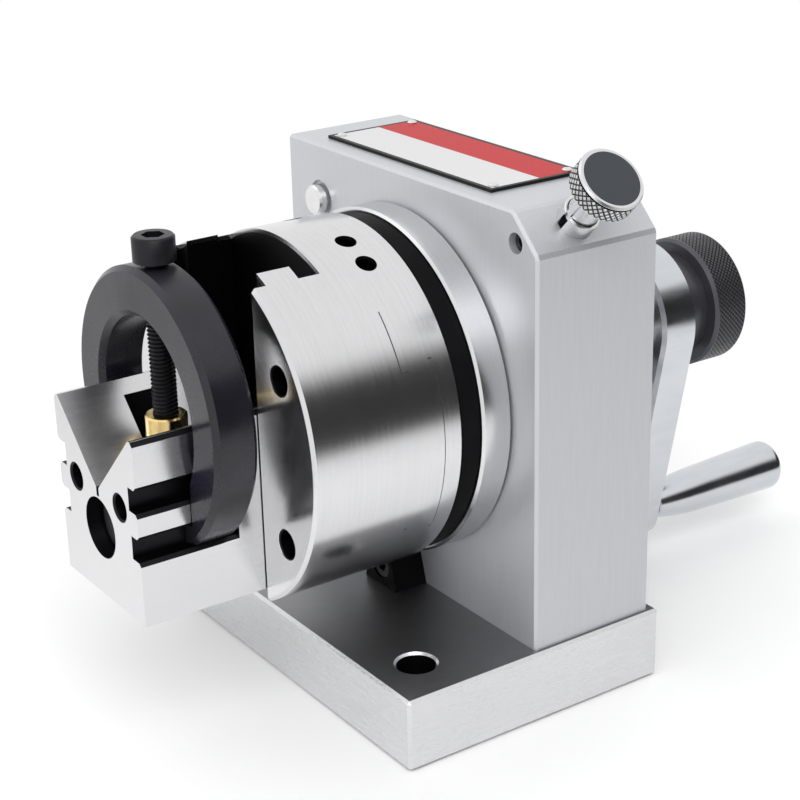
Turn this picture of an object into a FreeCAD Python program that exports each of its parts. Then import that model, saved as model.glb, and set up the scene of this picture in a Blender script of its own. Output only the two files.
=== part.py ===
import FreeCAD, Part
import Sketcher
import math
import os
import re

# Punch former: a spindle head that carries a V-block and a clamping yoke, on an upright with a crank.
# Lengths are millimetres. The origin lies on the rest face of the base, beneath the spindle axis, in
# the plane of the headstock's front face. +Z is up, -Y points to the V-block, +Y to the crank.
# Pieces on the spindle are drawn about the spindle axis and lifted to the centre height.

# Driving sizes, one name for each size that can be set by itself
SIZES = {
    # Fits
    "running_gap": 0.05,
    "seat_gap": 0.02,
    "face_gap": 0.15,
    "clear_gap": 0.2,
    "sunk_gap": 0.4,
    "tap_spare": 1.5,
    "cut_past": 1.0,
    "fine_edge": 0.4,
    "pin_edge": 0.5,
    "ring_edge": 0.3,
    "hex_share": 0.48,
    "key_share": 0.55,
    # Base plate
    "base_width": 108.0,
    "base_front": 38.6,
    "base_back": 38.4,
    "base_thickness": 18.7,
    "base_edge": 0.8,
    "mount_spacing": 79.2,
    "mount_inset": 12.3,
    "mount_radius": 4.8,
    "mount_lead": 0.7,
    # Headstock
    "centre_height": 75.0,
    "stock_width": 105.0,
    "stock_depth": 36.0,
    "stock_over_axis": 52.0,
    "stock_corner": 9.0,
    "stock_edge": 0.7,
    "front_radius": 37.0,
    "front_depth": 22.0,
    "rear_radius": 19.0,
    # Screws and dowels between base and headstock
    "frame_screw": 4.0,
    "frame_screw_head": 6.5,
    "frame_screw_height": 8.0,
    "frame_screw_length": 30.0,
    "frame_screw_sunk": 0.8,
    "frame_screw_spread": 38.0,
    "frame_screw_inset": 8.5,
    "frame_screw_room": 0.4,
    "dowel_radius": 4.0,
    "dowel_length": 28.0,
    "dowel_spread": 46.0,
    # Spindle
    "turn_gap": 0.4,
    "flange_radius": 44.0,
    "flange_thickness": 8.4,
    "flange_edge": 0.6,
    "ring_radius": 43.0,
    "ring_thickness": 5.5,
    "spigot_radius": 24.0,
    "spigot_length": 17.8,
    "journal_radius": 26.0,
    "journal_length": 9.6,
    "disc_seat": 20.0,
    "rear_journal": 15.0,
    "nut_thread": 14.0,
    "shoulder_radius": 12.5,
    "crank_seat": 9.0,
    "tail_radius": 8.0,
    "tail_length": 16.0,
    "tail_edge": 0.8,
    "thread_relief": 0.4,
    # Index disc
    "disc_radius": 36.3,
    "disc_thickness": 10.0,
    "notch_count": 24,
    "notch_width": 6.4,
    "notch_depth": 4.8,
    "disc_screw": 1.5,
    "disc_screw_head": 2.75,
    "disc_screw_height": 3.0,
    "disc_screw_length": 12.0,
    "disc_screw_spread": 16.6,
    # Rear bearing
    "housing_radius": 30.0,
    "housing_flange": 6.0,
    "housing_boss": 20.0,
    "housing_length": 19.5,
    "housing_reach": 13.4,
    "housing_edge": 0.6,
    "bush_radius": 17.5,
    "housing_screw": 2.5,
    "housing_screw_head": 4.25,
    "housing_screw_height": 5.0,
    "housing_screw_length": 16.0,
    "housing_screw_spread": 17.7,
    "thrust_thickness": 1.6,
    "thrust_radius": 20.0,
    "lock_nut_radius": 20.5,
    "lock_nut_thickness": 5.0,
    "lock_nut_slot": 3.0,
    "lock_nut_notch": 2.0,
    # Slide head
    "head_radius": 43.8,
    "head_length": 40.7,
    "head_edge": 0.8,
    "channel_width": 40.4,
    "rib_reach": 4.0,
    "rib_thickness": 8.5,
    "guide_depth": 3.8,
    "channel_depth": 18.0,
    "face_hole": 3.4,
    "face_hole_depth": 12.0,
    "face_hole_width": 60.4,
    "face_hole_rise": 40.0,
    "face_hole_lead": 0.4,
    "radial_hole": 2.6,
    "radial_hole_back": 10.1,
    "radial_near": 15.7,
    "radial_far": 27.5,
    "set_screw": 2.5,
    "set_screw_length": 15.0,
    "set_screw_point": 1.7,
    "set_screw_tip": 1.6,
    "head_screw": 2.5,
    "head_screw_head": 4.25,
    "head_screw_height": 5.0,
    "head_screw_length": 25.0,
    "head_screw_across": 31.0,
    "head_screw_rise": 11.3,
    # V-block
    "block_width": 39.6,
    "block_front": 86.9,
    "block_top": 9.8,
    "block_bottom": 35.4,
    "vee_land": 1.8,
    "relief_width": 1.2,
    "relief_depth": 1.6,
    "block_chamfer": 1.1,
    "slot_height": 5.8,
    "slot_reach": 3.8,
    "slot_flare": 0.9,
    "upper_slot": 7.6,
    "lower_slot": 19.6,
    "slot_past": 1.1,
    "window_width": 30.0,
    "window_lead": 2.2,
    "window_run": 11.0,
    "window_floor": 11.5,
    "tapped_radius": 3.1,
    "tapped_spread": 22.2,
    "tapped_drop": 8.7,
    "tapped_depth": 12.0,
    "tapped_lead": 0.5,
    # Lock of the V-block
    "lock_screw": 4.0,
    "lock_screw_head": 6.5,
    "lock_screw_height": 8.0,
    "lock_screw_length": 35.0,
    "lock_drop": 17.8,
    "lock_sunk": 4.0,
    "lock_washer": 1.5,
    "lock_counterbore": 7.5,
    "lock_washer_radius": 7.2,
    "lock_room": 0.5,
    "slide_nut_height": 26.0,
    # Yoke
    "yoke_radius": 33.6,
    "yoke_rise": 8.4,
    "yoke_mouth": 22.0,
    "yoke_front": 73.5,
    "yoke_thickness": 11.0,
    "yoke_edge": 1.3,
    "mouth_edge": 1.4,
    "yoke_clearance": 0.3,
    "lip_clearance": 0.3,
    # Clamp screw and pad
    "clamp_screw": 3.0,
    "clamp_head": 5.0,
    "clamp_height": 6.0,
    "clamp_length": 40.0,
    "clamp_stand": 1.3,
    "clamp_neck": 2.3,
    "pad_radius": 5.0,
    "pad_height": 8.0,
    "pad_grip": 2.9,
    "pad_pin": 0.6,
    "pad_pin_drop": 1.5,
    # Index plunger
    "plunger_angle": 45.0,
    "plunger_travel": 5.0,
    "plunger_radius": 3.0,
    "stem_radius": 1.75,
    "tip_clearance": 0.7,
    "shoulder_inset": 14.5,
    "sleeve_radius": 4.6,
    "sleeve_rise": 4.2,
    "sleeve_length": 33.2,
    "sleeve_edge": 0.2,
    "cup_radius": 4.0,
    "cup_depth": 7.2,
    "web_thickness": 2.0,
    "shank_radius": 3.8,
    "shank_overlap": 1.7,
    "key_rib": 1.5,
    "rib_bite": 0.5,
    "knob_radius": 8.1,
    "knob_height": 5.4,
    "knob_stand": 12.6,
    "knob_groove": 0.4,
    "groove_drop": 1.0,
    "stem_hold": 3.0,
    "cap_radius": 7.0,
    "cap_thickness": 0.8,
    "cap_proud": 0.1,
    "spring_wire": 0.35,
    "spring_radius": 2.4,
    "spring_turns": 5,
    "grub_radius": 2.5,
    "grub_length": 8.0,
    "grub_inset": 4.4,
    # Stop pin and rest block
    "stop_radius": 4.0,
    "stop_reach": 2.6,
    "stop_length": 18.0,
    "stop_rim": 1.0,
    "stop_offset": 37.5,
    "rest_width": 14.0,
    "rest_top": 8.0,
    "rest_height": 10.8,
    "rest_depth": 9.6,
    "rest_screw": 2.0,
    "rest_screw_head": 3.5,
    "rest_screw_height": 4.0,
    "rest_screw_length": 14.0,
    # Nameplate
    "plate_length": 70.0,
    "plate_width": 27.5,
    "plate_thickness": 0.8,
    "plate_left": 41.5,
    "plate_front": 5.5,
    "rivet_shank": 0.8,
    "rivet_head": 1.3,
    "rivet_dome": 0.5,
    "rivet_edge": 0.3,
    "rivet_inset": 2.6,
    "rivet_length": 4.0,
    # Crank and its grip
    "crank_front": 69.0,
    "crank_thickness": 12.0,
    "crank_hub": 20.1,
    "crank_tip": 7.5,
    "crank_throw": 59.5,
    "crank_edge": 1.0,
    "key_width": 4.0,
    "key_in_shaft": 2.2,
    "key_in_hub": 1.7,
    "key_length": 10.0,
    "grip_pin": 2.5,
    "grip_collar": 3.4,
    "grip_thread": 3.0,
    "grip_gap": 3.0,
    "grip_length": 46.6,
    "grip_neck": 4.5,
    "grip_waist": 16.0,
    "waist_radius": 6.5,
    "grip_radius": 7.3,
    "grip_round": 2.6,
    "grip_sweep": 80.0,
    "grip_head": 3.9,
    "grip_head_height": 3.2,
    "grip_recess": 4.5,
    "grip_sunk": 1.2,
    # Clamp nut behind the crank
    "washer_thickness": 2.0,
    "washer_radius": 13.6,
    "nut_collar": 14.1,
    "nut_collar_length": 6.8,
    "nut_head": 17.9,
    "nut_head_length": 11.3,
    "nut_edge": 0.8,
    "nut_blind": 3.0,
}

# Sizes that follow from others, each used by more than one piece
DERIVED = {
    "stock_top": "centre_height + stock_over_axis",
    "dowel_low": "base_thickness - dowel_length / 2",
    "frame_seat": "frame_screw_sunk + frame_screw_height",
    "flange_front": "turn_gap + flange_thickness",
    "ring_front": "flange_front + ring_thickness",
    "head_front": "ring_front + head_length",
    "spigot_front": "ring_front + spigot_length",
    "guide_floor": "head_front - guide_depth",
    "rib_back": "guide_floor - rib_thickness",
    "channel_floor": "head_front - channel_depth",
    "channel_half": "channel_width / 2",
    "rib_half": "channel_half - rib_reach",
    "head_seat": "turn_gap + head_screw_height + sunk_gap",
    "block_back": "guide_floor + face_gap",
    "block_half": "block_width / 2",
    "vee_half": "block_half - vee_land",
    "vee_drop": "vee_half - block_top",
    "slot_wall": "block_half - slot_reach",
    "disc_back": "journal_length + disc_thickness",
    "disc_screw_seat": "disc_back - disc_screw_height - sunk_gap",
    "plunger_back": "journal_length + disc_thickness / 2",
    "housing_back": "stock_depth + housing_length",
    "flange_back": "stock_depth + housing_flange",
    "thrust_back": "housing_back + face_gap + thrust_thickness",
    "lock_nut_front": "thrust_back + face_gap",
    "lock_nut_back": "lock_nut_front + lock_nut_thickness",
    "crank_back": "crank_front + crank_thickness",
    "crank_lean": "(crank_hub - crank_tip) / crank_throw",
    "crank_spread": "sqrt(1 - crank_lean * crank_lean)",
    "tail_back": "crank_back + tail_length",
    "washer_front": "crank_back + face_gap",
    "washer_back": "washer_front + washer_thickness",
    "nut_front": "washer_back + face_gap",
    "nut_collar_back": "nut_front + nut_collar_length",
    "nut_back": "nut_collar_back + nut_head_length",
    "yoke_inner": "block_half + yoke_clearance",
    "yoke_back": "yoke_front - yoke_thickness",
    "slot_run": "block_front - yoke_back + slot_past",
    "window_front": "yoke_front - window_lead",
    "lip_half": "slot_wall + lip_clearance",
    "lip_low": "lower_slot - lip_clearance",
    "lip_high": "lower_slot - slot_height + lip_clearance",
    "yoke_top": "yoke_rise + yoke_radius",
    "screw_line": "(yoke_front + yoke_back) / 2",
    "clamp_seat": "yoke_top + clamp_stand",
    "clamp_end": "clamp_seat - clamp_length",
    "clamp_top": "clamp_seat + clamp_height",
    "pad_top": "clamp_end + pad_grip",
    "pad_base": "pad_top - pad_height",
    "pad_pin_rise": "pad_top - pad_pin_drop",
    "lock_head_seat": "block_front - lock_sunk - lock_screw_height",
    "lock_seat": "lock_head_seat - lock_washer",
    "chamfer_reach": "(stock_width / 2 + stock_over_axis - stock_corner) * sqrt(2) / 2",
    "sleeve_top": "chamfer_reach + sleeve_rise",
    "shoulder_along": "chamfer_reach - shoulder_inset",
    "grub_along": "chamfer_reach - grub_inset",
    "sleeve_foot": "sleeve_top - sleeve_length",
    "cup_floor": "sleeve_top - cup_depth",
    "web_floor": "cup_floor - web_thickness",
    "plunger_tip": "disc_radius + tip_clearance",
    "knob_low": "chamfer_reach + knob_stand",
    "knob_top": "knob_low + knob_height",
    "grub_across": "grub_along * sin(plunger_angle)",
    "grub_rise": "centre_height + grub_along * cos(plunger_angle)",
    "grip_front": "crank_back + grip_gap + face_gap",
    "grip_back": "grip_front + grip_length",
    "grip_floor": "grip_back - grip_head_height - grip_sunk",
}

# How close two lengths on a shape have to be to count as one
TOUCH = 0.001

document = FreeCAD.newDocument("punch_former")
sheet = document.addObject("Spreadsheet::Sheet", "sizes")
ALIASES = set()
SUBPARTS = []


def fill_sheet():
    """Write the driving and the derived sizes into the sheet, one alias to a row."""
    for row, (name, value) in enumerate(list(SIZES.items()) + list(DERIVED.items()), start=1):
        sheet.set("A%d" % row, name)
        sheet.set("B%d" % row, "=" + value if isinstance(value, str) else str(value))
        sheet.setAlias("B%d" % row, name)
        ALIASES.add(name)
    document.recompute()


def bind(text):
    """Return an expression with the sheet's name put before each of its aliases."""
    return re.sub(r"[a-z][a-z_]*", lambda word: "sizes." * (word.group() in ALIASES) + word.group(), text)


def size(text):
    """Return the present value of an expression of sizes."""
    result = sheet.evalExpression(text)
    return float(getattr(result, "Value", result))


def new_body(label, back="0", up="0"):
    """Add a body for one sub-part, its own origin moved along Y and Z."""
    body = document.addObject("PartDesign::Body", label)
    body.Label = label
    body.AllowCompound = True
    body.setExpression("Placement.Base.y", bind(back))
    body.setExpression("Placement.Base.z", bind(up))
    SUBPARTS.append(body)
    return body


def spindle_body(label):
    """Add a body drawn about the spindle axis."""
    return new_body(label, "0", "centre_height")


def plunger_body(label):
    """Add a body drawn about Z and turned onto the radial axis of the index plunger."""
    body = new_body(label, "plunger_back", "centre_height")
    turn = FreeCAD.Rotation(FreeCAD.Vector(0, 1, 0), size("plunger_angle"))
    body.Placement = FreeCAD.Placement(FreeCAD.Vector(0, size("plunger_back"), size("centre_height")), turn)
    return body


def new_sketch(body, role, offset="0", tilt=None, shift=("0", "0")):
    """Add a sketch on an origin plane of the body, moved along its normal, shifted and tilted about Y."""
    sketch = body.newObject("Sketcher::SketchObject", body.Name + "_sketch")
    plane = next(item for item in body.Origin.OriginFeatures if item.Role == role)
    sketch.AttachmentSupport = (plane, [""])
    sketch.MapMode = "FlatFace"
    if tilt is not None:
        turn = FreeCAD.Rotation(FreeCAD.Vector(0, 1, 0), size(tilt))
        sketch.AttachmentOffset = FreeCAD.Placement(FreeCAD.Vector(0, 0, 0), turn)
    for axis, text in zip("xyz", (shift[0], shift[1], offset)):
        sketch.setExpression(".AttachmentOffset.Base." + axis, bind(text))
    return sketch


def tie(sketch, wanted):
    """Constrain a sketch by (kind, place, expression) entries in one go."""
    first = sketch.ConstraintCount
    sketch.addConstraint([Sketcher.Constraint(kind, *place, size(text)) for kind, place, text in wanted])
    for number, (kind, place, text) in enumerate(wanted):
        sketch.setExpression("Constraints[%d]" % (first + number), bind(text))


def circle(sketch, radius, across="0", up="0"):
    """Draw a circle from expressions of its radius and centre."""
    middle = FreeCAD.Vector(size(across), size(up), 0)
    index = sketch.addGeometry(Part.Circle(middle, FreeCAD.Vector(0, 0, 1), size(radius)), False)
    tie(sketch, [("Radius", (index,), radius),
                 ("DistanceX", (-1, 1, index, 3), across),
                 ("DistanceY", (-1, 1, index, 3), up)])


def circles(body, role, radius, spots, offset="0"):
    """Draw one sketch of equal circles."""
    sketch = new_sketch(body, role, offset)
    for across, up in spots:
        circle(sketch, radius, across, up)
    return sketch


def arc_between(start, end, radius, turn):
    """Return the arc of under half a circle from start to end, turning left (1) or right (-1)."""
    chord = end - start
    height = math.sqrt(max(radius ** 2 - (chord.Length / 2) ** 2, 0.0))
    middle = (start + end) * 0.5 + FreeCAD.Vector(-chord.y, chord.x, 0) * (turn * height / chord.Length)
    first, last = (start, end) if turn > 0 else (end, start)
    from_angle = math.atan2(first.y - middle.y, first.x - middle.x)
    to_angle = math.atan2(last.y - middle.y, last.x - middle.x)
    return Part.ArcOfCircle(Part.Circle(middle, FreeCAD.Vector(0, 0, 1), radius), from_angle, to_angle)


def outline(sketch, corners):
    """Draw a closed outline of (across, up) corners; (across, up, radius, turn) starts an arc."""
    spots = [FreeCAD.Vector(size(corner[0]), size(corner[1]), 0) for corner in corners]
    ends = []
    for number, corner in enumerate(corners):
        start, end = spots[number], spots[(number + 1) % len(spots)]
        if len(corner) == 2:
            ends.append((sketch.addGeometry(Part.LineSegment(start, end), False), 1, 2))
            continue
        index = sketch.addGeometry(arc_between(start, end, size(corner[2]), corner[3]), False)
        ends.append((index, 1, 2) if corner[3] > 0 else (index, 2, 1))
    joins = []
    wanted = []
    for number, corner in enumerate(corners):
        index, begins, finishes = ends[number]
        following = ends[(number + 1) % len(ends)]
        joins.append(Sketcher.Constraint("Coincident", index, finishes, following[0], following[1]))
        wanted.append(("DistanceX", (-1, 1, index, begins), corner[0]))
        wanted.append(("DistanceY", (-1, 1, index, begins), corner[1]))
        if len(corner) > 2:
            wanted.append(("Radius", (index,), corner[2]))
    sketch.addConstraint(joins)
    tie(sketch, wanted)


def rectangle(sketch, left, low, right, high):
    """Draw an upright rectangle between two corners."""
    outline(sketch, [(left, low), (right, low), (right, high), (left, high)])


def pad(body, sketch, length, against=False):
    """Extrude a sketch along its normal, or against it."""
    feature = body.newObject("PartDesign::Pad", body.Name + "_pad")
    feature.Profile = sketch
    feature.Reversed = against
    feature.setExpression("Length", bind(length))
    return feature


def pocket(body, sketch, length, along=False):
    """Cut a sketch into the body against its normal, or along it."""
    feature = body.newObject("PartDesign::Pocket", body.Name + "_pocket")
    feature.Profile = sketch
    feature.Reversed = along
    feature.setExpression("Length", bind(length))
    return feature


def revolve(body, corners, upright=False):
    """Turn an outline about Y, drawn as (along, radius), or about Z, drawn as (radius, along)."""
    sketch = new_sketch(body, "XZ_Plane" if upright else "YZ_Plane")
    outline(sketch, corners)
    feature = body.newObject("PartDesign::Revolution", body.Name + "_turned")
    feature.Profile = sketch
    feature.ReferenceAxis = (sketch, ["V_Axis" if upright else "H_Axis"])
    feature.Angle = 360.0
    return feature


def chamfer(body, amount, test):
    """Chamfer the edges of the body's present shape that pass a test."""
    document.recompute()
    base = body.Tip
    names = ["Edge%d" % number for number, edge in enumerate(base.Shape.Edges, start=1) if test(edge)]
    feature = body.newObject("PartDesign::Chamfer", body.Name + "_edges")
    feature.Base = (base, names)
    feature.setExpression("Size", bind(amount))
    return feature


def round_edge(radius, axis, level):
    """Return a test for circular edges of one radius in the plane at a level along an axis."""
    def test(edge):
        box = edge.BoundBox
        low, high = {"y": (box.YMin, box.YMax), "z": (box.ZMin, box.ZMax)}[axis]
        near = max(abs(low - size(level)), abs(high - size(level))) < TOUCH
        return near and isinstance(edge.Curve, Part.Circle) and abs(edge.Curve.Radius - size(radius)) < TOUCH
    return test


def ring(label, outer, inner, low, high, edge="ring_edge"):
    """Make a ring about the spindle axis with small chamfers on its outer rims."""
    body = spindle_body(label)
    revolve(body, [
        (low, inner), (low, "%s - %s" % (outer, edge)), ("%s + %s" % (low, edge), outer),
        ("%s - %s" % (high, edge), outer), (high, "%s - %s" % (outer, edge)), (high, inner)])
    return body


def hexagon(sketch, head, across, up):
    """Draw the hexagon of a socket in a head of the given radius."""
    reach = "2 * hex_share * (%s) / sqrt(3)" % head
    outline(sketch, [("%s + %s * cos(%d)" % (across, reach, turn), "%s + %s * sin(%d)" % (up, reach, turn))
                     for turn in range(0, 360, 60)])


def cap_screws(body, role, spots, seat, name, along):
    """Add socket head screws whose heads seat at a height over a plane.

    The shanks point along the plane's normal, or against it where along is False.
    """
    head, height = name + "_head", name + "_height"
    pad(body, circles(body, role, head, spots, seat), height, along)
    pad(body, circles(body, role, name, spots, seat), name + "_length", not along)
    sockets = new_sketch(body, role, "%s %s %s" % (seat, "-" if along else "+", height))
    for across, up in spots:
        hexagon(sockets, head, across, up)
    pocket(body, sockets, height + " * key_share", along)


def four(across, up, middle="0"):
    """Return the four points of a rectangular pattern about a point at a height."""
    return [(side + across, "%s %s %s" % (middle, level, up)) for side in ("", "-") for level in "+-"]


def frame_screw_spots():
    """Return where the screws between base and headstock stand."""
    rows = ("frame_screw_inset", "stock_depth - frame_screw_inset")
    return [(side + "frame_screw_spread", row) for side in ("", "-") for row in rows]


def dowel_spots():
    """Return where the dowels stand."""
    return [(side + "dowel_spread", "stock_depth / 2") for side in ("", "-")]


def rivet_spots():
    """Return the corners of the nameplate where its rivets sit."""
    columns = ("rivet_inset - plate_left", "plate_length - plate_left - rivet_inset")
    rows = ("plate_front + rivet_inset", "plate_front + plate_width - rivet_inset")
    return [(column, row) for column in columns for row in rows]


def make_base():
    """Base plate: the ground slab, its two mounting holes and the seats of the frame screws."""
    body = new_body("base_plate")
    slab = new_sketch(body, "XY_Plane")
    rectangle(slab, "-base_width / 2", "-base_front", "base_width / 2", "base_back")
    pad(body, slab, "base_thickness")
    chamfer(body, "base_edge", lambda edge: True)
    mounts = [(side + "mount_spacing / 2", "mount_inset - base_front") for side in ("", "-")]
    screw, head = "frame_screw + frame_screw_room", "frame_screw_head + frame_screw_room"
    pocket(body, circles(body, "XY_Plane", "mount_radius", mounts), "base_thickness", True)
    pocket(body, circles(body, "XY_Plane", screw, frame_screw_spots()), "base_thickness", True)
    pocket(body, circles(body, "XY_Plane", head, frame_screw_spots()), "frame_seat", True)
    pocket(body, circles(body, "XY_Plane", "dowel_radius + seat_gap", dowel_spots()), "base_thickness", True)
    chamfer(body, "mount_lead", round_edge("mount_radius", "z", "base_thickness"))


def make_headstock():
    """Headstock: the upright block, bored for the spindle and drilled through its cut corner."""
    body = new_body("headstock")
    half = "stock_width / 2"
    face = new_sketch(body, "XZ_Plane")
    outline(face, [
        ("-" + half, "base_thickness"), (half, "base_thickness"), (half, "stock_top - stock_corner"),
        (half + " - stock_corner", "stock_top"), ("-" + half, "stock_top")])
    pad(body, face, "stock_depth", True)
    above = size("base_thickness") + TOUCH
    chamfer(body, "stock_edge", lambda edge: edge.BoundBox.ZMax > above)
    axis_spot = [("0", "centre_height")]
    pocket(body, circles(body, "XZ_Plane", "front_radius", axis_spot), "front_depth")
    pocket(body, circles(body, "XZ_Plane", "rear_radius", axis_spot), "stock_depth")
    plunger = new_sketch(body, "XY_Plane", "centre_height", "plunger_angle", ("0", "plunger_back"))
    circle(plunger, "sleeve_radius + seat_gap")
    pocket(body, plunger, "sleeve_top + stock_corner", True)
    grub = [("grub_across", "grub_rise")]
    pocket(body, circles(body, "XZ_Plane", "grub_radius + seat_gap", grub), "plunger_back")
    stop = [("-stop_offset", "centre_height + stop_offset")]
    pocket(body, circles(body, "XZ_Plane", "stop_radius + seat_gap", stop), "stop_length - stop_reach")
    pocket(body, circles(body, "XZ_Plane", "stop_radius + stop_rim", stop), "stop_rim")
    screws = circles(body, "XY_Plane", "frame_screw + seat_gap", frame_screw_spots(), "base_thickness")
    pocket(body, screws, "frame_screw_length + frame_seat - base_thickness + tap_spare", True)
    dowels = circles(body, "XY_Plane", "dowel_radius + seat_gap", dowel_spots(), "base_thickness")
    pocket(body, dowels, "dowel_length / 2 + tap_spare", True)
    rivets = circles(body, "XY_Plane", "rivet_shank + seat_gap", rivet_spots(), "stock_top")
    pocket(body, rivets, "rivet_length")
    housing = four("housing_screw_spread", "housing_screw_spread", "centre_height")
    tapped = circles(body, "XZ_Plane", "housing_screw + seat_gap", housing, "-stock_depth")
    pocket(body, tapped, "housing_screw_length - housing_flange + tap_spare", True)
    rest = [("0", "base_thickness + rest_height / 2")]
    pocket(body, circles(body, "XZ_Plane", "rest_screw + seat_gap", rest), "rest_screw_length")


def make_frame_fasteners():
    """Screws, dowels, stop pin and rest block that are fixed to base and headstock."""
    screws = new_body("headstock_screws")
    cap_screws(screws, "XY_Plane", frame_screw_spots(), "frame_seat", "frame_screw", True)
    dowels = new_body("dowel_pins")
    pad(dowels, circles(dowels, "XY_Plane", "dowel_radius", dowel_spots(), "dowel_low"), "dowel_length")
    chamfer(dowels, "pin_edge", lambda edge: isinstance(edge.Curve, Part.Circle))
    stop = spindle_body("stop_pin")
    spot = [("-stop_offset", "stop_offset")]
    pad(stop, circles(stop, "XZ_Plane", "stop_radius", spot, "stop_reach"), "stop_length - face_gap", True)
    chamfer(stop, "pin_edge", lambda edge: isinstance(edge.Curve, Part.Circle))
    rest = new_body("rest_block", "0", "base_thickness")
    shape = new_sketch(rest, "XZ_Plane")
    outline(shape, [("-rest_width / 2", "0"), ("rest_width / 2", "0"),
                    ("rest_top / 2", "rest_height"), ("-rest_top / 2", "rest_height")])
    pad(rest, shape, "rest_depth")
    middle = [("0", "rest_height / 2")]
    sink = "rest_screw_height + sunk_gap"
    pocket(rest, circles(rest, "XZ_Plane", "rest_screw + clear_gap", middle, "rest_depth"), "rest_depth")
    pocket(rest, circles(rest, "XZ_Plane", "rest_screw_head + clear_gap", middle, "rest_depth"), sink)
    rest_screw = new_body("rest_block_screw", "0", "base_thickness")
    cap_screws(rest_screw, "XZ_Plane", middle, "rest_depth - (%s)" % sink, "rest_screw", False)


def make_nameplate():
    """Nameplate with four corner rivets on top of the headstock."""
    plate = new_body("nameplate", "0", "stock_top")
    border = new_sketch(plate, "XY_Plane")
    rectangle(border, "-plate_left", "plate_front", "plate_length - plate_left", "plate_front + plate_width")
    pad(plate, border, "plate_thickness")
    holes = circles(plate, "XY_Plane", "rivet_shank + running_gap", rivet_spots())
    pocket(plate, holes, "plate_thickness", True)
    rivets = new_body("nameplate_rivets", "0", "stock_top")
    shanks = circles(rivets, "XY_Plane", "rivet_shank", rivet_spots(), "face_gap - rivet_length")
    pad(rivets, shanks, "rivet_length - face_gap + plate_thickness")
    pad(rivets, circles(rivets, "XY_Plane", "rivet_head", rivet_spots(), "plate_thickness"), "rivet_dome")
    chamfer(rivets, "rivet_edge", round_edge("rivet_head", "z", "plate_thickness + rivet_dome"))


def make_bearings():
    """Bushes, rear housing with its screws, thrust washer and the slotted nut that sets the end play."""
    ring("front_bush", "front_radius - seat_gap", "journal_radius + running_gap",
         "0", "journal_length - 2 * face_gap")
    housing = spindle_body("rear_housing")
    spigot = "rear_radius - seat_gap"
    revolve(housing, [
        ("stock_depth - housing_reach", "bush_radius"), ("stock_depth - housing_reach", spigot),
        ("stock_depth", spigot), ("stock_depth", "housing_radius"),
        ("flange_back - housing_edge", "housing_radius"), ("flange_back", "housing_radius - housing_edge"),
        ("flange_back", "housing_boss"),
        ("housing_back - housing_edge", "housing_boss"), ("housing_back", "housing_boss - housing_edge"),
        ("housing_back", "bush_radius")])
    spots = four("housing_screw_spread", "housing_screw_spread")
    holes = circles(housing, "XZ_Plane", "housing_screw + clear_gap", spots, "-stock_depth")
    pocket(housing, holes, "housing_flange")
    ring("rear_bush", "bush_radius - seat_gap", "rear_journal + running_gap",
         "stock_depth - housing_reach", "housing_back")
    screws = spindle_body("housing_screws")
    cap_screws(screws, "XZ_Plane", spots, "-flange_back", "housing_screw", True)
    ring("thrust_washer", "thrust_radius", "rear_journal + running_gap",
         "housing_back + face_gap", "thrust_back")
    nut = ring("bearing_nut", "lock_nut_radius", "nut_thread + seat_gap",
               "lock_nut_front", "lock_nut_back", "housing_edge")
    slots = new_sketch(nut, "XZ_Plane", "-lock_nut_back")
    half, inner, outer = "lock_nut_slot / 2", "lock_nut_radius - lock_nut_notch", "lock_nut_radius + cut_past"
    rectangle(slots, "-" + half, inner, half, outer)
    rectangle(slots, inner, "-" + half, outer, half)
    rectangle(slots, "-" + half, "-(%s)" % outer, half, "-(%s)" % inner)
    rectangle(slots, "-(%s)" % outer, "-" + half, "-(%s)" % inner, half)
    pocket(nut, slots, "lock_nut_thickness", True)


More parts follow.
